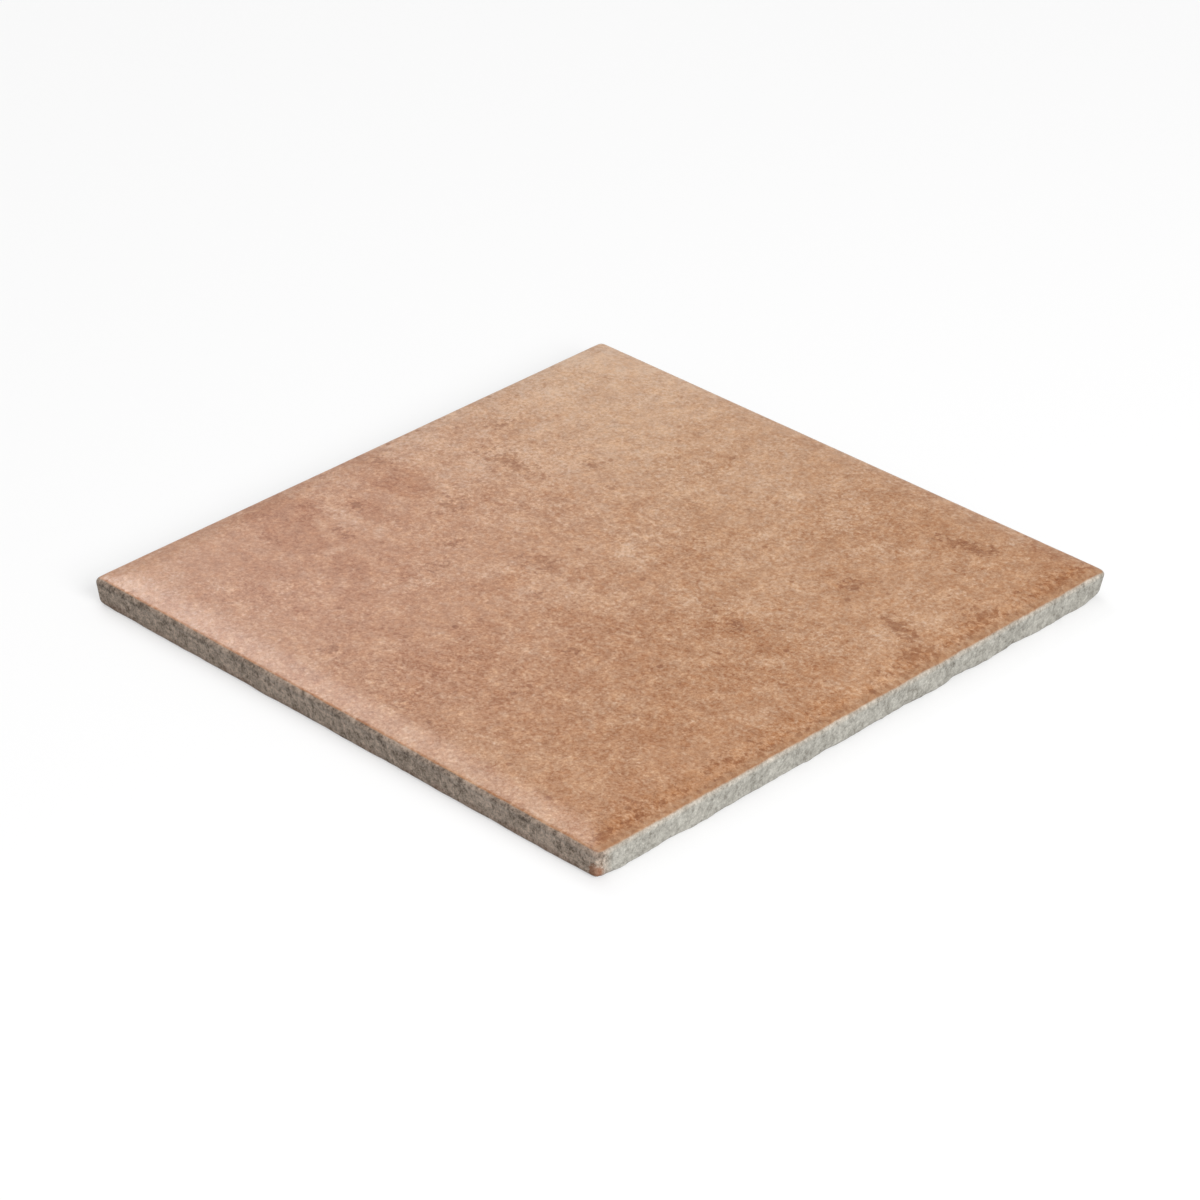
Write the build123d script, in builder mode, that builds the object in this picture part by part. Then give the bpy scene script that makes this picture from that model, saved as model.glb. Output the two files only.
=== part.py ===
from build123d import *
import math
import os

# A square porcelain floor tile, dry pressed and fired as one piece.
# It lies on its back: Z = 0 is the back plane, +Z is the glazed face,
# and the origin is the middle of the back. Millimetres and degrees.

# Whole tile, measured over the widest line of its sides
tile_width = 197.0
tile_thickness = 9.5
corner_radius = 1.8

# Below that line the sides lean in, as the pressing die leaves them, to a rounded foot
side_draft = 4.0
foot_radius = 1.0

# Cushion edge: the face bends down over this width, then rolls into the side
cushion_width = 11.0
cushion_drop = 1.1
hip_radius = 20.0
arris_radius = 1.0

# Keying relief of the back: shallow square cells between ribs that stand level with the border
key_pitch = 15.0
key_rib = 3.0
key_depth = 0.8
key_draft = 30.0
key_border = 7.0

# How far a cut runs past the surface that it opens
overrun = 1.0

widest_height = tile_thickness - cushion_drop - arris_radius
back_inset = widest_height * math.tan(math.radians(side_draft)) + foot_radius
back_width = tile_width - 2 * back_inset

flat_end = tile_width / 2 - cushion_width
cushion_end = tile_width / 2 + overrun
cushion_radius = (cushion_width**2 + cushion_drop**2) / (2 * cushion_drop)
cushion_fall = cushion_radius - math.sqrt(cushion_radius**2 - (cushion_end - flat_end) ** 2)

# An even count, so that two ribs cross in the middle of the back
key_cell = key_pitch - key_rib
key_cells = 2 * math.floor((back_width - 2 * key_border + key_rib) / (2 * key_pitch))

with BuildPart() as tile:
    # The pressed slab
    with BuildSketch():
        RectangleRounded(tile_width, tile_width, corner_radius)
    extrude(amount=tile_thickness)
    sides = tile.faces().sort_by(Axis.Z)[1:-1]
    draft(sides, Plane.XY.offset(widest_height), -side_draft)
    fillet(tile.faces().sort_by(Axis.Z)[0].edges(), foot_radius)

    # The cushion: a shallow arc along each of the four sides takes the edge of the face down
    for upright in (Plane.XZ, Plane.YZ):
        with BuildSketch(upright):
            with BuildLine():
                bend = RadiusArc(
                    (flat_end, tile_thickness), (cushion_end, tile_thickness - cushion_fall), cushion_radius
                )
                Polyline(
                    bend @ 1, (cushion_end, tile_thickness + overrun), (flat_end, tile_thickness + overrun), bend @ 0
                )
            make_face()
            mirror(about=Plane.YZ)
        extrude(amount=tile_width, both=True, mode=Mode.SUBTRACT)

    # The hips, which run from the corners of the flat to those of the tile, are eased
    flat = tile.faces().sort_by(Axis.Z)[-1]
    hips = [
        edge
        for edge in tile.edges() - flat.edges()
        if any(corner in flat.vertices() for corner in edge.vertices())
    ]
    fillet(hips, hip_radius)

    # The arris, rolled all round between the cushion and the sides
    rim = tile.edges().filter_by_position(Axis.Z, widest_height, tile_thickness - cushion_drop / 2)
    fillet(rim, arris_radius)

    # The keying cells, with sloping walls that leave the die cleanly
    with BuildSketch():
        with GridLocations(key_pitch, key_pitch, key_cells, key_cells):
            Rectangle(key_cell, key_cell)
    extrude(amount=key_depth, taper=key_draft, mode=Mode.SUBTRACT)

tile.part.label = "porcelain_tile"

os.makedirs("parts", exist_ok=True)
export_step(tile.part, "parts/porcelain_tile.step")
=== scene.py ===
import math

import bpy
from mathutils import Matrix, Vector


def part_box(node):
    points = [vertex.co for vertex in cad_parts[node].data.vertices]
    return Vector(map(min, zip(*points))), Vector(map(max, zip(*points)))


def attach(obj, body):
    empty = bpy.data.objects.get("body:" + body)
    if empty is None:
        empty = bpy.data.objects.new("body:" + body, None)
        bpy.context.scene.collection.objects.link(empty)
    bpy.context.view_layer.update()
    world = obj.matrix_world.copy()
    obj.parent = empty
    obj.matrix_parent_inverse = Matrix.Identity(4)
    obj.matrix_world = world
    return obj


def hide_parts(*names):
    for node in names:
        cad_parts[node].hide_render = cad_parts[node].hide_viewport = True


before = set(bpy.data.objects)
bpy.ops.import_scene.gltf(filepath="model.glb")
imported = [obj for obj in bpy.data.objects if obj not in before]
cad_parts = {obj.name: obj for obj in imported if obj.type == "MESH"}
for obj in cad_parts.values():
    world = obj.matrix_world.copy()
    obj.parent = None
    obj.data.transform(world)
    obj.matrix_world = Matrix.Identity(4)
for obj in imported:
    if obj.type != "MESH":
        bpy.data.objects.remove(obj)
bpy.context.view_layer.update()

# Sizes are in metres, from millimetres
MM = 0.001

# The pressed form, as in the part's own section, with an arris that handling has rounded a little further
lowest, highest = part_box("porcelain_tile")
HALF_WIDTH = (highest[0] - lowest[0]) / 2
THICKNESS = highest[2] - lowest[2]
CORNER_RADIUS = 1.8 * MM
SIDE_DRAFT = math.radians(4.0)
CUSHION_WIDTH = 11.0 * MM
CUSHION_DROP = 1.1 * MM
HIP_EASE = 5.0 * MM
ARRIS_RADIUS = 1.4 * MM
KEY_PITCH = 15.0 * MM
KEY_RIB = 3.0 * MM
KEY_DEPTH = 0.8 * MM
KEY_SLOPE = KEY_DEPTH * math.tan(math.radians(30.0))
KEY_CELLS = 12
SHARP_EDGE = math.radians(40.0)

# What pressing, handling and firing leave on the form
FACE_WAVE = 0.06 * MM
FACE_WAVE_LENGTH = 38.0 * MM
RIM_WOBBLE = 0.22 * MM
RIM_WOBBLE_LENGTH = 14.0 * MM
FOOT_SOUND = 0.4 * MM
FOOT_WORN = 2.2 * MM
FOOT_WORN_LENGTH = 12.0 * MM
CORNER_WORN = 2.0 * MM
CORNER_WORN_REACH = 7.0 * MM
SIDE_HOLLOW = 0.9 * MM
SIDE_HOLLOW_LENGTH = 22.0 * MM
FOOT_FRONT = 1.6 * MM
FRONT_EVENNESS = 0.65

# The glaze laps this far round the arris, measured in from the widest line
GLAZE_END = -0.6 * MM

# Mesh steps: from the middle of the tile to its edge, the last of them on the cushion, and down a side
STEPS = 100
EDGE_STEPS = 14
SIDE_ROWS = 14
WALL_SHARE = 0.5
KEY_STEPS = 15

# The photograph's camera, in the tile's own frame
EYE = Vector((0.7794, -0.7642, 0.6431))
AIM = Vector((0.0, 0.0, 0.0))
ROLL = math.radians(-0.7)
LENS = 138.0
SENSOR = 36.0

# The plain light from all round
WORLD_FILL = 0.36

# Patterns of the print. Its dots and grains are really about 0.2 mm, and are drawn near 1 mm so that they
# show.
WANDER_SIZE = 11.0 * MM
FRAY_SIZE = 2.2 * MM
SPONGE_SIZE = 8.0 * MM
STIPPLE_SIZE = 0.8 * MM
GRAIN_SIZE = 1.2 * MM
COARSENESS_SIZE = 22.0 * MM
RAGGED_SIZE = 3.0 * MM
TINT_SIZE = 4.0 * MM
CHIP_SIZE = 1.7 * MM
PIN_SPACING = 6.0 * MM
LAP_WAVE_SIZE = 5.0 * MM
PEEL_SIZE = 2.4 * MM
PRINT_TONE = 0.565
RUST_STAIN = "#D3BBA2"
GLAZE_IOR = 1.52

# Patterns of the bare body. Its sand is really about 0.3 mm, and is drawn coarser so that it shows.
SAND_SIZE = 1.8 * MM
CLOUD_SIZE = 8.0 * MM
DRAG_SIZE = 1.6 * MM
BARE_TONE = 0.50
BARE_ROUGHNESS = 0.8
RELIEF = 0.2 * MM
RELIEF_STRENGTH = 0.8

MATH = "ShaderNodeMath"
VECTOR = "ShaderNodeVectorMath"
RANGE = "ShaderNodeMapRange"
MIX = "ShaderNodeMix"
NOISE = "ShaderNodeTexNoise"


def add(tree, kind, feeds=None, **settings):
    """Adds a node, sets its properties, links or fills its inputs, and returns its first output."""
    made = tree.nodes.new(kind)
    for name, value in settings.items():
        setattr(made, name, value)
    for key, value in (feeds or {}).items():
        by_name = (s for s in made.inputs if s.enabled and s.name == key)
        socket = made.inputs[key] if isinstance(key, int) else next(by_name)
        if isinstance(value, bpy.types.NodeSocket):
            tree.links.new(value, socket)
        else:
            socket.default_value = value
    return next((s for s in made.outputs if s.enabled), None)


def linear(hex_colour):
    """An sRGB hex colour as linear RGBA."""
    channels = [int(hex_colour[i : i + 2], 16) / 255 for i in (1, 3, 5)]
    return [c / 12.92 if c <= 0.04045 else ((c + 0.055) / 1.055) ** 2.4 for c in channels] + [1.0]


def per_metre(size):
    """The scale of a pattern whose features measure size metres."""
    return 1.0 / size


def tile_tree(glaze, body):
    """Geometry Nodes for the tile: a subdivided cube whose face, sides and back move to the pressed form."""
    tree = bpy.data.node_groups.new("Pressed tile", "GeometryNodeTree")
    tree.interface.new_socket("Geometry", in_out="OUTPUT", socket_type="NodeSocketGeometry")
    sizes = {
        "Half Width": HALF_WIDTH,
        "Thickness": THICKNESS,
        "Corner Radius": CORNER_RADIUS,
        "Side Lean": math.tan(SIDE_DRAFT),
        "Cushion Width": CUSHION_WIDTH,
        "Cushion Drop": CUSHION_DROP,
        "Hip Ease": HIP_EASE,
        "Arris Radius": ARRIS_RADIUS,
        "Key Pitch": KEY_PITCH,
        "Key Rib": KEY_RIB,
        "Key Depth": KEY_DEPTH,
        "Key Slope": KEY_SLOPE,
        "Face Wave": FACE_WAVE,
        "Rim Wobble": RIM_WOBBLE,
        "Foot Sound": FOOT_SOUND,
        "Foot Worn": FOOT_WORN,
        "Corner Worn": CORNER_WORN,
        "Foot Front": FOOT_FRONT,
        "Side Hollow": SIDE_HOLLOW,
        "Glaze End": GLAZE_END,
    }
    for name in sizes:
        tree.interface.new_socket(name, in_out="INPUT", socket_type="NodeSocketFloat")
    size = tree.nodes.new("NodeGroupInput").outputs

    # The cube's vertices, counted in mesh steps from the middle of the tile
    across = 2 * STEPS + 1
    cube = add(tree, "GeometryNodeMeshCube", {
        "Size": (2, 2, 2), "Vertices X": across, "Vertices Y": across, "Vertices Z": SIDE_ROWS + 1,
    })
    place = add(tree, "GeometryNodeInputPosition")
    level = add(tree, "ShaderNodeSeparateXYZ", {0: place}).node.outputs["Z"]
    quarter = add(tree, VECTOR, {0: place}, operation="SIGN")
    step = add(tree, VECTOR, {0: place, 1: (STEPS, STEPS, 0)}, operation="MULTIPLY")
    step = add(tree, VECTOR, {0: step}, operation="ABSOLUTE")
    step_xy = add(tree, "ShaderNodeSeparateXYZ", {0: step}).node.outputs
    ring = add(tree, MATH, {0: step_xy["X"], 1: step_xy["Y"]}, operation="MAXIMUM")
    on_face = add(tree, MATH, {0: level, 1: 0.999}, operation="GREATER_THAN")
    on_back = add(tree, MATH, {0: level, 1: -0.999}, operation="LESS_THAN")

    # Plan of the face: even steps over the flat, closer and closer ones towards the edge
    flat_half = add(tree, MATH, {0: size["Half Width"], 1: size["Cushion Width"]}, operation="SUBTRACT")
    flat_step = add(tree, MATH, {0: flat_half, 1: STEPS - EDGE_STEPS}, operation="DIVIDE")
    flat_plan = add(tree, VECTOR, {0: step, "Scale": flat_step}, operation="SCALE")
    flat_plan = add(tree, VECTOR, {0: flat_plan, 1: flat_half}, operation="MINIMUM")
    inward = add(tree, RANGE, {
        "Vector": step, "From Min": (STEPS - EDGE_STEPS,) * 3, "From Max": (STEPS,) * 3,
        "To Min": (1, 1, 1), "To Max": (0, 0, 0),
    }, data_type="FLOAT_VECTOR")
    outward = add(tree, VECTOR, {0: inward, 1: inward}, operation="MULTIPLY")
    outward = add(tree, VECTOR, {0: (1, 1, 1), 1: outward}, operation="SUBTRACT")
    plan = add(tree, VECTOR, {0: outward, 1: size["Cushion Width"], 2: flat_plan}, operation="MULTIPLY_ADD")
    plan_xy = add(tree, "ShaderNodeSeparateXYZ", {0: plan}).node.outputs
    reach = add(tree, MATH, {0: plan_xy["X"], 1: plan_xy["Y"]}, operation="MAXIMUM")
    from_edge = add(tree, MATH, {0: size["Half Width"], 1: reach}, operation="SUBTRACT")

    # Rounded corners in plan, fading out over the cushion
    key_ring = KEY_CELLS // 2 * KEY_STEPS - 1
    border = add(tree, RANGE, {"Value": ring, "From Min": key_ring, "From Max": STEPS})
    rounding = add(tree, MATH, {0: border, 1: size["Corner Radius"]}, operation="MULTIPLY")
    straight = add(tree, MATH, {0: reach, 1: rounding}, operation="SUBTRACT")
    past = add(tree, VECTOR, {0: plan, 1: straight}, operation="SUBTRACT")
    past = add(tree, VECTOR, {0: past, 1: (0, 0, 0)}, operation="MAXIMUM")
    past_length = add(tree, VECTOR, {0: past}, operation="LENGTH").node.outputs["Value"]
    kept = add(tree, MATH, {0: rounding, 1: past_length}, operation="DIVIDE")
    cut = add(tree, MATH, {0: 1.0, 1: kept}, operation="SUBTRACT")
    trim = add(tree, VECTOR, {0: past, "Scale": cut}, operation="SCALE")
    plan = add(tree, VECTOR, {0: plan, 1: trim}, operation="SUBTRACT")
    on_plan = add(tree, VECTOR, {0: plan, 1: quarter}, operation="MULTIPLY")

    # Height of the face: the cushion falls with the square of the distance outside the flat, with an eased
    # hip at each corner, then the arris rolls over
    at = add(tree, "ShaderNodeSeparateXYZ", {0: plan}).node.outputs
    outside = add(tree, MATH, {0: at["X"], 1: at["Y"], 2: size["Hip Ease"]}, operation="SMOOTH_MAX")
    outside = add(tree, MATH, {0: outside, 1: flat_half}, operation="SUBTRACT")
    outside = add(tree, MATH, {0: outside, 1: 0.0}, operation="MAXIMUM")
    bend = add(tree, MATH, {0: outside, 1: size["Cushion Width"]}, operation="DIVIDE")
    bend = add(tree, MATH, {0: bend, 1: 2.0}, operation="POWER")
    fall = add(tree, MATH, {0: bend, 1: size["Cushion Drop"]}, operation="MULTIPLY")
    roll = add(tree, RANGE, {
        "Value": from_edge, "From Min": 0.0, "From Max": size["Arris Radius"], "To Min": 1.0, "To Max": 0.0,
    })
    roll = add(tree, MATH, {0: roll, 1: 2.0}, operation="POWER")
    roll = add(tree, MATH, {0: 1.0, 1: roll}, operation="SUBTRACT")
    roll = add(tree, MATH, {0: roll}, operation="SQRT")
    roll = add(tree, MATH, {0: 1.0, 1: roll}, operation="SUBTRACT")
    fall = add(tree, MATH, {0: roll, 1: size["Arris Radius"], 2: fall}, operation="MULTIPLY_ADD")
    wave = add(tree, NOISE, {"Vector": on_plan, "Scale": per_metre(FACE_WAVE_LENGTH), "Detail": 2.0})
    fall = add(tree, MATH, {0: wave, 1: size["Face Wave"], 2: fall}, operation="MULTIPLY_ADD")
    face_height = add(tree, MATH, {0: size["Thickness"], 1: fall}, operation="SUBTRACT")

    # The sides: a leaning, slightly hollow wall, then a foot whose rounding is worn more here and less
    # there, and evenly along the front side
    down = add(tree, RANGE, {"Value": level, "From Min": 1.0, "From Max": -1.0})
    wall = add(tree, RANGE, {"Value": down, "From Max": WALL_SHARE})
    turn = add(tree, RANGE, {"Value": down, "From Min": WALL_SHARE, "To Max": math.pi / 2})
    worn = add(tree, NOISE, {
        "Vector": on_plan, "Scale": per_metre(FOOT_WORN_LENGTH), "Detail": 3.0, "Roughness": 0.6,
    })
    foot = add(tree, RANGE, {
        "Value": worn, "From Min": 0.38, "From Max": 0.72,
        "To Min": size["Foot Sound"], "To Max": size["Foot Worn"],
    })
    least = add(tree, MATH, {0: plan_xy["X"], 1: plan_xy["Y"]}, operation="MINIMUM")
    corner = add(tree, MATH, {0: size["Half Width"], 1: least}, operation="SUBTRACT")
    corner = add(tree, RANGE, {"Value": corner, "From Min": CORNER_WORN_REACH, "From Max": 0.0})
    foot = add(tree, MATH, {0: corner, 1: size["Corner Worn"], 2: foot}, operation="MULTIPLY_ADD")
    ahead = add(tree, "ShaderNodeSeparateXYZ", {0: place}).node.outputs["Y"]
    even = add(tree, RANGE, {"Value": ahead, "From Min": -0.9, "From Max": -1.0, "To Max": FRONT_EVENNESS})
    foot = add(tree, MIX, {"Factor": even, "A": foot, "B": size["Foot Front"]})
    hollow = add(tree, NOISE, {"Vector": on_plan, "Scale": per_metre(SIDE_HOLLOW_LENGTH), "Detail": 3.0})
    hollow = add(tree, RANGE, {
        "Value": hollow, "From Min": 0.35, "From Max": 0.7, "To Max": size["Side Hollow"],
    })
    hollow = add(tree, MIX, {"Factor": even, "A": hollow, "B": 0.0})
    height = add(tree, MIX, {"Factor": wall, "A": face_height, "B": foot})
    wall_drop = add(tree, MATH, {0: face_height, 1: height}, operation="SUBTRACT")
    sine = add(tree, MATH, {0: turn}, operation="SINE")
    cosine = add(tree, MATH, {0: turn}, operation="COSINE")
    under = add(tree, MATH, {0: foot, 1: sine}, operation="MULTIPLY")
    height = add(tree, MATH, {0: height, 1: under}, operation="SUBTRACT")
    under = add(tree, MATH, {0: 1.0, 1: cosine}, operation="SUBTRACT")
    inset = add(tree, MATH, {0: under, 1: foot}, operation="MULTIPLY")
    inset = add(tree, MATH, {0: wall_drop, 1: size["Side Lean"], 2: inset}, operation="MULTIPLY_ADD")
    inset = add(tree, MATH, {0: wall, 1: hollow, 2: inset}, operation="MULTIPLY_ADD")
    wobble = add(tree, NOISE, {"Vector": on_plan, "Scale": per_metre(RIM_WOBBLE_LENGTH), "Detail": 3.0})
    near_rim = add(tree, RANGE, {
        "Value": from_edge, "From Max": size["Cushion Width"], "To Min": 1.0, "To Max": 0.0,
    })
    wobble = add(tree, MATH, {0: wobble, 1: near_rim}, operation="MULTIPLY")
    inset = add(tree, MATH, {0: wobble, 1: size["Rim Wobble"], 2: inset}, operation="MULTIPLY_ADD")
    share = add(tree, MATH, {0: inset, 1: size["Half Width"]}, operation="DIVIDE")
    share = add(tree, MATH, {0: 1.0, 1: share}, operation="SUBTRACT")
    plan = add(tree, VECTOR, {0: plan, "Scale": share}, operation="SCALE")

    # The back: mesh lines gather at each cell's rim and floor, so that the cells have true sloping walls
    cell = add(tree, VECTOR, {0: step, "Scale": 1 / KEY_STEPS}, operation="SCALE")
    cell = add(tree, VECTOR, {0: cell}, operation="FLOOR")
    along = add(tree, VECTOR, {0: step, 1: (KEY_STEPS,) * 3}, operation="MODULO")
    along = add(tree, VECTOR, {0: along, 1: (KEY_STEPS / 2,) * 3}, operation="SUBTRACT")
    half_cell = add(tree, VECTOR, {0: along}, operation="SIGN")
    from_rib = add(tree, VECTOR, {0: along}, operation="ABSOLUTE")
    from_rib = add(tree, VECTOR, {0: (KEY_STEPS / 2,) * 3, 1: from_rib}, operation="SUBTRACT")
    half_pitch = add(tree, MATH, {0: size["Key Pitch"], 1: 2.0}, operation="DIVIDE")
    half_rib = add(tree, MATH, {0: size["Key Rib"], 1: 2.0}, operation="DIVIDE")
    half_floor = add(tree, MATH, {0: half_pitch, 1: half_rib}, operation="SUBTRACT")
    half_floor = add(tree, MATH, {0: half_floor, 1: size["Key Slope"]}, operation="SUBTRACT")
    on_rib = add(tree, RANGE, {
        "Vector": from_rib, "From Max": (1, 1, 1), "To Max": half_rib,
    }, data_type="FLOAT_VECTOR")
    sunk = add(tree, RANGE, {
        "Vector": from_rib, "From Min": (1, 1, 1), "From Max": (2, 2, 2),
    }, data_type="FLOAT_VECTOR")
    on_floor = add(tree, RANGE, {
        "Vector": from_rib, "From Min": (2, 2, 2), "From Max": (KEY_STEPS / 2,) * 3, "To Max": half_floor,
    }, data_type="FLOAT_VECTOR")
    line = add(tree, VECTOR, {0: sunk, 1: size["Key Slope"], 2: on_rib}, operation="MULTIPLY_ADD")
    line = add(tree, VECTOR, {0: line, 1: on_floor}, operation="ADD")
    line = add(tree, VECTOR, {0: half_pitch, 1: line}, operation="SUBTRACT")
    line = add(tree, VECTOR, {0: line, 1: half_cell, 2: half_pitch}, operation="MULTIPLY_ADD")
    line = add(tree, VECTOR, {0: cell, 1: size["Key Pitch"], 2: line}, operation="MULTIPLY_ADD")
    span = add(tree, MATH, {0: size["Key Pitch"], 1: KEY_CELLS / 2}, operation="MULTIPLY")
    span = add(tree, MATH, {0: span, 1: half_rib}, operation="SUBTRACT")
    line = add(tree, VECTOR, {0: line, 1: span}, operation="MINIMUM")
    line = add(tree, MIX, {"Factor": border, "A": line, "B": plan}, data_type="VECTOR")
    plan = add(tree, MIX, {"Factor": on_back, "A": plan, "B": line}, data_type="VECTOR")
    sunk_xy = add(tree, "ShaderNodeSeparateXYZ", {0: sunk}).node.outputs
    sunk = add(tree, MATH, {0: sunk_xy["X"], 1: sunk_xy["Y"]}, operation="MINIMUM")
    keyed = add(tree, MATH, {0: ring, 1: key_ring + 0.5}, operation="LESS_THAN")
    keyed = add(tree, MATH, {0: keyed, 1: on_back}, operation="MULTIPLY")
    sunk = add(tree, MATH, {0: sunk, 1: keyed}, operation="MULTIPLY")
    height = add(tree, MATH, {0: sunk, 1: size["Key Depth"], 2: height}, operation="MULTIPLY_ADD")

    # How far a point lies inside the widest line, on the face, or below it, on the sides and back
    inside = add(tree, MATH, {0: from_edge, 1: on_face}, operation="MULTIPLY")
    below = add(tree, MATH, {0: face_height, 1: height}, operation="SUBTRACT")
    rim = add(tree, MATH, {0: inside, 1: below}, operation="SUBTRACT")
    shape = add(tree, "GeometryNodeStoreNamedAttribute", {"Geometry": cube, "Name": "rim", "Value": rim})

    plan = add(tree, VECTOR, {0: plan, 1: quarter}, operation="MULTIPLY")
    plan_xy = add(tree, "ShaderNodeSeparateXYZ", {0: plan}).node.outputs
    spot = add(tree, "ShaderNodeCombineXYZ", {"X": plan_xy["X"], "Y": plan_xy["Y"], "Z": height})
    shape = add(tree, "GeometryNodeSetPosition", {"Geometry": shape, "Position": spot})

    # Smooth shading, with the edges of the keying cells left sharp
    shape = add(tree, "GeometryNodeSetShadeSmooth", {"Geometry": shape})
    angle = add(tree, "GeometryNodeInputMeshEdgeAngle")
    sharp = add(tree, MATH, {0: angle, 1: SHARP_EDGE}, operation="GREATER_THAN")
    shape = add(tree, "GeometryNodeSetShadeSmooth", {
        "Geometry": shape, "Selection": sharp, "Shade Smooth": False,
    }, domain="EDGE")

    stored = add(tree, "GeometryNodeInputNamedAttribute", {"Name": "rim"}, data_type="FLOAT")
    glazed = add(tree, MATH, {0: stored, 1: size["Glaze End"]}, operation="GREATER_THAN")
    shape = add(tree, "GeometryNodeRealizeInstances", {"Geometry": shape})
    shape = add(tree, "GeometryNodeSetMaterial", {"Geometry": shape, "Material": body})
    shape = add(tree, "GeometryNodeSetMaterial", {
        "Geometry": shape, "Selection": glazed, "Material": glaze,
    })
    add(tree, "NodeGroupOutput", {"Geometry": shape})
    return tree, sizes


def made_by(tree, sizes, name):
    """A plain mesh object with the shape that a Geometry Nodes tree makes at these sizes."""
    piece = bpy.data.objects.new(name, bpy.data.meshes.new(name))
    bpy.context.scene.collection.objects.link(piece)
    modifier = piece.modifiers.new("Form", "NODES")
    modifier.node_group = tree
    for item in tree.interface.items_tree:
        if item.in_out == "INPUT":
            modifier[item.identifier] = sizes[item.name]
    evaluated = piece.evaluated_get(bpy.context.evaluated_depsgraph_get())
    mesh = bpy.data.meshes.new_from_object(evaluated)
    piece.modifiers.remove(modifier)
    piece.data = mesh
    return piece


def new_material(name):
    """An empty material and its Principled shader's tree and node."""
    material = bpy.data.materials.new(name)
    material.use_nodes = True
    tree = material.node_tree
    return material, tree, tree.nodes["Principled BSDF"]


def soft_patch(tree, where, middle, reach, turn=0.0):
    """A value that falls from 1 in the middle of an ellipse on the face to 0 at its edge.
    Millimetres and degrees."""
    there = add(tree, "ShaderNodeMapping", {
        "Vector": where,
        "Location": (middle[0] * MM, middle[1] * MM, THICKNESS),
        "Rotation": (0, 0, math.radians(turn)),
        "Scale": (reach[0] * MM, reach[1] * MM, 1.0),
    }, vector_type="TEXTURE")
    patch = add(tree, "ShaderNodeTexGradient", {"Vector": there}, gradient_type="SPHERICAL")
    return patch.node.outputs["Fac"]


def bare_porcelain(tree, spot, rim):
    """Colour and grain of the bare body: a hard pale grey with sandy grain and faint drag marks from the
    die, stained brown at the front foot and one corner, and browner and darker on the front side as painted
    shade."""
    place = add(tree, "ShaderNodeSeparateXYZ", {0: spot}).node.outputs
    front = add(tree, RANGE, {"Value": place["Y"], "From Min": -93 * MM, "From Max": -97 * MM})
    grain = add(tree, NOISE, {
        "Vector": spot, "Scale": per_metre(SAND_SIZE), "Detail": 3.0, "Roughness": 0.9,
    })
    cloud = add(tree, NOISE, {"Vector": spot, "Scale": per_metre(CLOUD_SIZE), "Detail": 3.0})
    drawn = add(tree, "ShaderNodeMapping", {"Vector": spot, "Scale": (1.0, 1.0, 0.12)})
    drags = add(tree, NOISE, {
        "Vector": drawn, "Scale": per_metre(DRAG_SIZE), "Detail": 2.0, "Roughness": 0.7,
    })

    # The sand shows more on the front side: the extra contrast there is painted light and shade, standing in
    # for the grazing light on that side
    sand_and_grazing_shade = add(tree, MATH, {0: front, 1: 1.5, 2: 1.75}, operation="MULTIPLY_ADD")
    tone = BARE_TONE
    for layer, weight in ((grain, sand_and_grazing_shade), (cloud, 0.35), (drags, 0.4)):
        centred = add(tree, MATH, {0: layer, 1: 0.5}, operation="SUBTRACT")
        tone = add(tree, MATH, {0: centred, 1: weight, 2: tone}, operation="MULTIPLY_ADD")
    tones = add(tree, "ShaderNodeValToRGB", {"Fac": tone})
    ramp = tones.node.color_ramp
    ramp.elements[0].color = linear("#6E685D")
    ramp.elements[1].color = linear("#E2DFD5")

    # The front side is painted browner and darker as painted shade, darkest just under the rim; it is also
    # stained brown along the foot and rust brown at one corner, and the body is a little warmer all round
    # beside the glaze
    # Painted shade: the front side, which gets less light, is tinted browner and darker
    colour = add(tree, MIX, {"Factor": front, "A": tones, "B": linear("#FFEBE1")}, data_type="RGBA",
                 blend_type="MULTIPLY")
    # Painted shade: the front side is darker just under the rim
    rim_painted_shade = add(tree, RANGE, {"Value": rim, "From Min": -0.9 * MM, "From Max": 0.3 * MM})
    rim_painted_shade = add(tree, MATH, {0: rim_painted_shade, 1: front}, operation="MULTIPLY")
    colour = add(tree, MIX, {"Factor": rim_painted_shade, "A": colour, "B": linear("#D5D9DC")}, data_type="RGBA",
                 blend_type="MULTIPLY")
    flash = add(tree, RANGE, {"Value": rim, "From Min": -0.2 * MM, "From Max": 0.3 * MM})
    colour = add(tree, MIX, {"Factor": flash, "A": colour, "B": linear("#FDF3EC")}, data_type="RGBA",
                 blend_type="MULTIPLY")
    low = add(tree, MATH, {0: cloud, 1: 5 * MM}, operation="MULTIPLY")
    low = add(tree, MATH, {0: place["Z"], 1: low}, operation="SUBTRACT")
    low = add(tree, RANGE, {"Value": low, "From Min": 0.0, "From Max": -1.6 * MM, "To Max": 0.3})
    low = add(tree, MATH, {0: low, 1: front}, operation="MULTIPLY")
    colour = add(tree, MIX, {"Factor": low, "A": colour, "B": linear("#8A5E48")}, data_type="RGBA")
    corner = (97 * MM, -98 * MM, 2.4 * MM)
    stain = add(tree, VECTOR, {0: spot, 1: corner}, operation="DISTANCE").node.outputs["Value"]
    stain = add(tree, MATH, {0: grain, 1: 5 * MM, 2: stain}, operation="MULTIPLY_ADD")
    stain = add(tree, RANGE, {"Value": stain, "From Min": 5.0 * MM, "From Max": 4.0 * MM, "To Max": 0.6})
    colour = add(tree, MIX, {"Factor": stain, "A": colour, "B": linear("#A5643A")}, data_type="RGBA")
    return colour, grain


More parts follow.
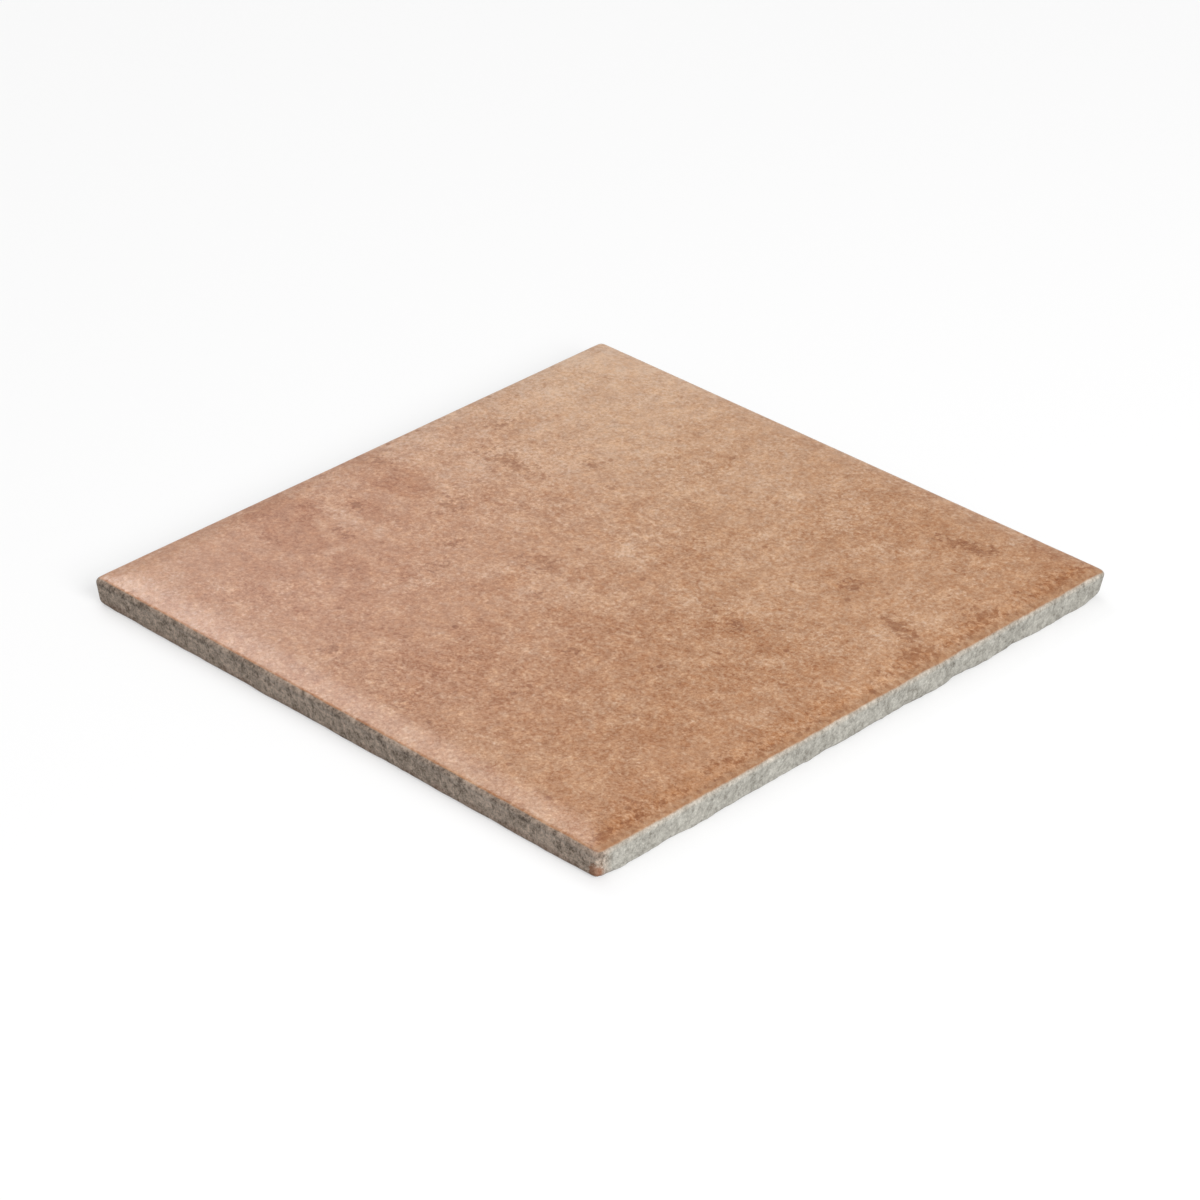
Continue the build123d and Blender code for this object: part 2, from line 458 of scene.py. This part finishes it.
def matt_glaze():
    """Matt glaze, printed under its surface in fired-clay colours: soft clouds, sponged mottle, fine grain
    and a few rust flecks, with a satin sheen that shows most on the bent edges."""
    material, tree, shader = new_material("Matt glaze, fired-clay print")
    spot = add(tree, "ShaderNodeTexCoord").node.outputs["Object"]
    rim = add(tree, "ShaderNodeAttribute", attribute_name="rim").node.outputs["Fac"]

    # Patch edges wander by several millimetres, fleck edges by one or two
    wander = add(tree, NOISE, {
        "Vector": spot, "Scale": per_metre(WANDER_SIZE), "Detail": 5.0, "Roughness": 0.65,
    })
    wander = add(tree, VECTOR, {0: wander.node.outputs["Color"], 1: (0.5, 0.5, 0.5)}, operation="SUBTRACT")
    broad = add(tree, VECTOR, {0: wander, 1: (30 * MM, 30 * MM, 0), 2: spot}, operation="MULTIPLY_ADD")
    fray = add(tree, NOISE, {
        "Vector": spot, "Scale": per_metre(FRAY_SIZE), "Detail": 3.0, "Roughness": 0.7,
    })
    fray = add(tree, VECTOR, {0: fray.node.outputs["Color"], 1: (0.5, 0.5, 0.5)}, operation="SUBTRACT")
    frayed = add(tree, VECTOR, {0: fray, 1: (6 * MM, 6 * MM, 0), 2: spot}, operation="MULTIPLY_ADD")

    # Tone, from brown at 0 through clay to pale buff at 1: sponged mottle, stippled grains and dust between
    # them, coarser in some places than in others
    sponge = add(tree, NOISE, {
        "Vector": spot, "Scale": per_metre(SPONGE_SIZE), "Detail": 3.0, "Roughness": 1.0, "Distortion": 0.25,
    })
    torn = add(tree, VECTOR, {0: fray, 1: (1.2 * MM, 1.2 * MM, 0), 2: spot}, operation="MULTIPLY_ADD")
    stipple = add(tree, "ShaderNodeTexVoronoi", {"Vector": torn, "Scale": per_metre(STIPPLE_SIZE)})
    stipple = add(tree, "ShaderNodeSeparateXYZ", {0: stipple.node.outputs["Color"]}).node.outputs["X"]
    grain = add(tree, NOISE, {
        "Vector": spot, "Scale": per_metre(GRAIN_SIZE), "Detail": 2.0, "Roughness": 1.0,
    })
    tone = 0.0
    for layer, weight in ((sponge, 0.85), (stipple, 0.26), (grain, 1.15)):
        centred = add(tree, MATH, {0: layer, 1: 0.5}, operation="SUBTRACT")
        tone = add(tree, MATH, {0: centred, 1: weight, 2: tone}, operation="MULTIPLY_ADD")
    coarse = add(tree, NOISE, {"Vector": spot, "Scale": per_metre(COARSENESS_SIZE), "Detail": 3.0})
    coarse = add(tree, RANGE, {
        "Value": coarse, "From Min": 0.35, "From Max": 0.65, "To Min": 0.85, "To Max": 1.15,
    })
    calm_patches = (((-80, 85), (110, 80), -0.35), ((-90, -40), (70, 60), -0.25))
    for middle, reach, calm in calm_patches:
        smooth = soft_patch(tree, broad, middle, reach)
        coarse = add(tree, MATH, {0: smooth, 1: calm, 2: coarse}, operation="MULTIPLY_ADD")
    tone = add(tree, MATH, {0: tone, 1: coarse, 2: PRINT_TONE}, operation="MULTIPLY_ADD")
    speck = add(tree, RANGE, {"Value": stipple, "From Min": 0.97, "From Max": 0.99, "To Max": -0.22})
    tone = add(tree, MATH, {0: tone, 1: speck}, operation="ADD")

    # Washes with torn edges: size, where each starts and is full, and how far it lifts the tone
    washes = (
        (26 * MM, 0.50, 0.56, -0.08),
        (13 * MM, 0.55, 0.62, 0.10),
        (5 * MM, 0.60, 0.65, -0.12),
    )
    for wash_size, edge, full, lift in washes:
        wash = add(tree, NOISE, {
            "Vector": spot, "Scale": per_metre(wash_size),
            "Detail": 6.0, "Roughness": 0.68, "Distortion": 0.5,
        })
        wash = add(tree, RANGE, {"Value": wash, "From Min": edge, "From Max": full})
        tone = add(tree, MATH, {0: wash, 1: lift, 2: tone}, operation="MULTIPLY_ADD")

    # Broad patches that fade out: middle, reach and how far each lifts the tone. Some are partly or wholly
    # painted light and shade, as marked.
    patches = (
        # Pale far corner: partly print, partly painted sheen
        ((-95, 95), (150, 130), 0.33),
        ((-90, -45), (70, 60), -0.03),
        ((-20, -70), (90, 40), -0.11),
        # Darker near corner: partly print, partly painted shade
        ((95, -95), (150, 120), -0.09),
        ((90, 95), (60, 40), -0.05),
        ((65, 22), (70, 55), 0.06),
        # Painted sheen along the left front corner
        ((-98, -98), (45, 20), 0.08),
        ((0, 97), (45, 25), -0.06),
    )
    for middle, reach, lift in patches:
        patch = soft_patch(tree, broad, middle, reach)
        tone = add(tree, MATH, {0: patch, 1: lift, 2: tone}, operation="MULTIPLY_ADD")

    # Patches and strokes with broken edges: middle, reach, turn in degrees, how far each lifts the tone
    # and how far its edge is torn
    ragged = add(tree, NOISE, {
        "Vector": spot, "Scale": per_metre(RAGGED_SIZE), "Detail": 4.0, "Roughness": 0.7, "Distortion": 0.5,
    })
    strokes = (
        ((-82, -4), (32, 12), 0, -0.13, 0.9),
        ((-70, -22), (15, 8), 10, -0.15, 0.8),
        ((-80, -41), (33, 19), -10, -0.16, 0.8),
        ((-51, -46), (14, 8), -20, -0.11, 0.9),
        ((-73, -30), (12, 10), 0, 0.13, 1.2),
        ((-61, -45), (8, 3), 80, 0.12, 0.9),
        ((-70, -38), (18, 3), -20, 0.13, 2.2),
        ((-67, 13), (14, 8), 77, 0.09, 2.2),
        ((-31, -42), (12, 4), 80, 0.09, 1.4),
        ((-7, -18), (20, 7), 86, 0.08, 2.2),
        ((14, -9), (52, 12), 30, 0.05, 2.2),
        ((35, -61), (12, 6), 163, 0.11, 2.2),
        ((17, -38), (8, 5), 85, 0.10, 2.2),
        ((-3, 13), (10, 5), 112, 0.12, 2.2),
        ((-93, 20), (30, 6), 95, 0.10, 2.2),
        ((85, 12), (26, 6), 95, 0.08, 2.2),
        ((84, -22), (10, 4), 68, 0.09, 2.2),
        ((43, 14), (12, 5), 0, 0.10, 2.2),
        ((72, 12), (11, 5), 26, 0.09, 2.2),
        ((52, 5), (62, 9), 3, -0.07, 2.2),
    )
    for middle, reach, turn, lift, tear in strokes:
        glow = soft_patch(tree, frayed, middle, reach, turn)
        stroke = add(tree, MATH, {0: ragged, 1: tear, 2: glow}, operation="MULTIPLY_ADD")
        edge = 0.4 + 0.5 * tear
        soft = tear / 22
        stroke = add(tree, RANGE, {"Value": stroke, "From Min": edge - soft, "From Max": edge + soft})
        glow = add(tree, MATH, {0: glow, 1: 6.0}, operation="MULTIPLY")
        stroke = add(tree, MATH, {0: stroke, 1: glow}, operation="MINIMUM")
        tone = add(tree, MATH, {0: stroke, 1: lift, 2: tone}, operation="MULTIPLY_ADD")

    # Two prints of the same tones, an orange one and a rosier one towards one side
    prints = []
    for stops in (("#8E4F1E", "#A26A3E", "#B4845E", "#C69D7C", "#D7B598"),
                  ("#8F512A", "#A56B47", "#B78463", "#C89D80", "#D9B49B")):
        tones = add(tree, "ShaderNodeValToRGB", {"Fac": tone})
        ramp = tones.node.color_ramp
        ramp.elements[0].color = linear(stops[0])
        ramp.elements[1].color = linear(stops[4])
        for i in (1, 2, 3):
            ramp.elements.new(i / 4).color = linear(stops[i])
        prints.append(tones)
    rosy = soft_patch(tree, broad, (-110, -60), (170, 130))
    rosy = add(tree, RANGE, {"Value": rosy, "From Max": 0.6})
    colour = add(tree, MIX, {"Factor": rosy, "A": prints[0], "B": prints[1]}, data_type="RGBA")

    # Single grains and spots are a little redder or greyer than the rest
    tint = add(tree, NOISE, {
        "Vector": spot, "Scale": per_metre(TINT_SIZE), "Detail": 4.0, "Roughness": 0.9,
    })
    tint = add(tree, MATH, {0: tint, 1: 0.5}, operation="SUBTRACT")
    tint = add(tree, VECTOR, {0: tint, 1: (0.38, 0.06, -0.50), 2: (1, 1, 1)}, operation="MULTIPLY_ADD")
    colour = add(tree, VECTOR, {0: colour, 1: tint}, operation="MULTIPLY")

    # Rust flecks that break up into chips: middle, half length, half width, turn in degrees and strength.
    # Loose chips gather along the side where the glaze stops short.
    flecks = (
        (-62, 25, 17, 8, 1, 1.0), (92, 27, 9, 7, 76, 1.2), (63, 80, 17, 5, 14, 1.1),
        (92, 55, 11, 8, 110, 1.0), (94, 84, 19, 5, 92, 1.1), (-15, -8, 13, 8, 12, 0.8),
        (43, 6, 16, 5, 174, 0.7), (-57, -3, 10, 6, 104, 0.8), (80, 34, 11, 5, 159, 1.1),
        (55, 42, 6, 5, 40, 1.1), (-34, -31, 8, 5, 89, 0.8), (13, -84, 9, 5, 101, 0.7),
        (-65, -35, 8, 6, 107, 0.7), (92, -77, 8, 4, 145, 0.9), (-40, -18, 6, 4, 29, 0.9),
        (94, -91, 9, 4, 104, 0.9), (-80, 40, 9, 4, 72, 0.8), (93, -44, 7, 5, 0, 0.8),
        (-74, -23, 7, 4, 153, 0.8), (-44, 41, 7, 4, 153, 0.8), (-89, 1, 6, 4, 42, 0.9),
        (25, -35, 5, 4, 161, 0.9), (-3, -21, 4, 3, 109, 1.0), (-21, -80, 7, 5, 140, 0.7),
    )
    rust = 0.0
    for x, y, length, width, turn, strength in flecks:
        fleck = soft_patch(tree, frayed, (x, y), (length, width), turn)
        fleck = add(tree, MATH, {0: fleck, 1: strength}, operation="MULTIPLY")
        rust = add(tree, MATH, {0: fleck, 1: rust}, operation="MAXIMUM")
    place = add(tree, "ShaderNodeSeparateXYZ", {0: spot}).node.outputs
    edge = add(tree, RANGE, {"Value": place["X"], "From Min": 86 * MM, "From Max": 97 * MM, "To Max": 0.5})
    rust = add(tree, MATH, {0: edge, 1: rust}, operation="MAXIMUM")
    chips = add(tree, NOISE, {
        "Vector": spot, "Scale": per_metre(CHIP_SIZE), "Detail": 2.0, "Distortion": 0.4,
    })
    chips = add(tree, RANGE, {"Value": chips, "From Min": 0.3, "From Max": 0.7, "To Max": 1.2})
    rust = add(tree, MATH, {0: rust, 1: chips}, operation="ADD")
    rust = add(tree, RANGE, {"Value": rust, "From Min": 1.05, "From Max": 1.4, "To Max": 0.85})
    colour = add(tree, MIX, {"Factor": rust, "A": colour, "B": linear(RUST_STAIN)}, data_type="RGBA",
                 blend_type="MULTIPLY")

    # Pin spots one or two millimetres across, more of them towards that side
    pins = add(tree, "ShaderNodeTexVoronoi", {
        "Vector": torn, "Scale": per_metre(PIN_SPACING),
    }, voronoi_dimensions="2D")
    chance = add(tree, "ShaderNodeSeparateXYZ", {0: pins.node.outputs["Color"]}).node.outputs
    picked = add(tree, MATH, {0: place["X"], 1: 0.4, 2: chance["X"]}, operation="MULTIPLY_ADD")
    picked = add(tree, RANGE, {"Value": picked, "From Min": 0.92, "From Max": 0.93, "To Max": 0.75})
    width = add(tree, RANGE, {"Value": chance["Y"], "To Min": 0.07, "To Max": 0.17})
    pin = add(tree, MATH, {0: width, 1: pins.node.outputs["Distance"]}, operation="SUBTRACT")
    pin = add(tree, RANGE, {"Value": pin, "From Min": -0.03, "From Max": 0.03})
    pin = add(tree, MATH, {0: pin, 1: picked}, operation="MULTIPLY")
    colour = add(tree, MIX, {"Factor": pin, "A": colour, "B": linear(RUST_STAIN)}, data_type="RGBA",
                 blend_type="MULTIPLY")

    # The print dulls towards the side where the glaze stops short
    short = add(tree, RANGE, {
        "Value": place["X"], "From Min": 94.5 * MM, "From Max": 97.5 * MM, "To Max": 0.5,
    })
    colour = add(tree, MIX, {"Factor": short, "A": colour, "B": linear("#9A7A5F")}, data_type="RGBA")

    # The thin glaze on the arris burns to orange brown
    thin = add(tree, RANGE, {"Value": rim, "From Min": 0.9 * MM, "From Max": 0.4 * MM, "To Max": 0.15})
    colour = add(tree, MIX, {"Factor": thin, "A": colour, "B": linear("#A86C40")}, data_type="RGBA")

    # The glaze ends in a wavy lap on the arris, with the bare body below it
    waves = add(tree, NOISE, {
        "Vector": spot, "Scale": per_metre(LAP_WAVE_SIZE), "Detail": 4.0, "Roughness": 0.7,
    })
    front = add(tree, RANGE, {"Value": place["Y"], "From Min": -95 * MM, "From Max": -98 * MM})
    lap = add(tree, MATH, {0: front, 1: 0.4 * MM, 2: 0.2 * MM}, operation="MULTIPLY_ADD")
    lap = add(tree, MATH, {0: waves, 1: 0.6 * MM, 2: lap}, operation="MULTIPLY_ADD")
    lap = add(tree, MATH, {0: lap, 1: rim}, operation="SUBTRACT")
    bare = add(tree, RANGE, {"Value": lap, "From Min": -0.2 * MM, "From Max": 0.2 * MM})
    clay, sand = bare_porcelain(tree, spot, rim)
    colour = add(tree, MIX, {"Factor": bare, "A": colour, "B": clay}, data_type="RGBA")
    tree.links.new(colour, shader.inputs["Base Color"])

    # A satin sheen on the glaze, dull on the bare body
    sheen = add(tree, RANGE, {
        "Value": sponge, "From Min": 0.3, "From Max": 0.7, "To Min": 0.31, "To Max": 0.28,
    })
    sheen = add(tree, MIX, {"Factor": bare, "A": sheen, "B": BARE_ROUGHNESS})
    tree.links.new(sheen, shader.inputs["Roughness"])
    shader.inputs["IOR"].default_value = GLAZE_IOR

    # The glaze is all but smooth: its relief is a few hundredths of the bare body's
    peel = add(tree, NOISE, {
        "Vector": spot, "Scale": per_metre(PEEL_SIZE), "Detail": 3.0, "Roughness": 0.7,
    })
    bumps = add(tree, MATH, {0: peel, 1: grain}, operation="ADD")
    bumps = add(tree, MATH, {0: bumps, 1: 0.03, 2: 0.47}, operation="MULTIPLY_ADD")
    bumps = add(tree, MIX, {"Factor": bare, "A": bumps, "B": sand})
    normal = add(tree, "ShaderNodeBump", {"Strength": RELIEF_STRENGTH, "Distance": RELIEF, "Height": bumps})
    tree.links.new(normal, shader.inputs["Normal"])
    return material


def fired_body():
    """Bare fired porcelain, dry pressed and left unglazed: hard, dull and sandy."""
    material, tree, shader = new_material("Bare fired porcelain")
    spot = add(tree, "ShaderNodeTexCoord").node.outputs["Object"]
    rim = add(tree, "ShaderNodeAttribute", attribute_name="rim").node.outputs["Fac"]
    colour, grain = bare_porcelain(tree, spot, rim)
    tree.links.new(colour, shader.inputs["Base Color"])
    shader.inputs["Roughness"].default_value = BARE_ROUGHNESS
    normal = add(tree, "ShaderNodeBump", {"Strength": RELIEF_STRENGTH, "Distance": RELIEF, "Height": grain})
    tree.links.new(normal, shader.inputs["Normal"])
    return material


def seen_or_mirrored(tree):
    """A value that is 1 for what the camera sees, directly, in gloss or through glass, and 0 for light."""
    rays = add(tree, "ShaderNodeLightPath").node.outputs
    seen = add(tree, MATH, {0: rays["Is Camera Ray"], 1: rays["Is Glossy Ray"]}, operation="MAXIMUM")
    return add(tree, MATH, {0: seen, 1: rays["Is Transmission Ray"]}, operation="MAXIMUM")


def studio():
    """A pale floor, soft light and the photograph's camera."""
    scene = bpy.context.scene
    scene.view_settings.view_transform = "Standard"

    # The floor is white where it is seen or mirrored, keeps a soft shadow, and throws little light back
    bpy.ops.mesh.primitive_plane_add(size=12.0)
    floor = bpy.context.object
    floor.name = "floor"
    material, tree, shader = new_material("Pale studio floor")
    seen = seen_or_mirrored(tree)
    pale = add(tree, MIX, {
        "Factor": seen, "A": linear("#8E8E8E"), "B": linear("#FAFAFA"),
    }, data_type="RGBA")
    tree.links.new(pale, shader.inputs["Base Color"])
    shader.inputs["Roughness"].default_value = 0.9
    shader.inputs["Specular IOR Level"].default_value = 0.0
    white = add(tree, "ShaderNodeEmission", {"Color": (1, 1, 1, 1), "Strength": 1.0})
    half = add(tree, MATH, {0: seen, 1: 0.5}, operation="MULTIPLY")
    mixed = add(tree, "ShaderNodeMixShader", {0: half, 1: shader.outputs[0], 2: white})
    tree.links.new(mixed, tree.nodes["Material Output"].inputs["Surface"])
    floor.data.materials.append(material)

    # White round about and darker overhead for what is seen or mirrored, and a plain fill for the rest
    world = bpy.data.worlds.new("Studio")
    scene.world = world
    world.use_nodes = True
    tree = world.node_tree
    seen = seen_or_mirrored(tree)
    way = add(tree, "ShaderNodeTexCoord").node.outputs["Generated"]
    rise = add(tree, "ShaderNodeSeparateXYZ", {0: way}).node.outputs["Z"]
    walls = add(tree, RANGE, {
        "Value": rise, "From Min": 0.36, "From Max": 0.66, "To Min": 0.65, "To Max": 0.25,
    })
    strength = add(tree, MIX, {"Factor": seen, "A": WORLD_FILL, "B": walls})
    tree.links.new(strength, tree.nodes["Background"].inputs["Strength"])
    tree.nodes["Background"].inputs["Color"].default_value = (1, 1, 1, 1)

    # Bearing and height in degrees, distance, width and depth in metres, and what each lamp gives the face
    lamps = (
        ("key_right", -15.0, 32.0, 1.8, 1.0, 1.0, 0.46),
        ("overhead", 150.0, 76.0, 2.0, 1.4, 1.4, 0.20),
        ("sheen_left", 156.0, 41.0, 2.5, 1.05, 0.75, 0.11),
    )
    for name, bearing, rise, away, width, depth, level in lamps:
        bearing, rise = math.radians(bearing), math.radians(rise)
        light = bpy.data.lights.new(name, "AREA")
        light.shape = "RECTANGLE"
        light.size = width
        light.size_y = depth
        light.energy = level * math.pi**2 * away**2 / math.sin(rise)
        lamp = bpy.data.objects.new(name, light)
        level_reach = math.cos(rise)
        way = Vector((level_reach * math.cos(bearing), level_reach * math.sin(bearing), math.sin(rise)))
        lamp.location = way * away
        lamp.rotation_euler = way.to_track_quat("Z", "Y").to_euler()
        scene.collection.objects.link(lamp)

    lens = bpy.data.cameras.new("camera")
    lens.lens = LENS
    lens.sensor_width = SENSOR
    lens.clip_start = 0.01
    camera = bpy.data.objects.new("camera", lens)
    turn = (AIM - EYE).to_track_quat("-Z", "Y").to_matrix() @ Matrix.Rotation(ROLL, 3, "Z")
    camera.matrix_world = Matrix.Translation(EYE) @ turn.to_4x4()
    scene.collection.objects.link(camera)
    scene.camera = camera


tree, sizes = tile_tree(matt_glaze(), fired_body())
tile = made_by(tree, sizes, "glazed_tile")
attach(tile, "root")
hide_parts("porcelain_tile")
studio()
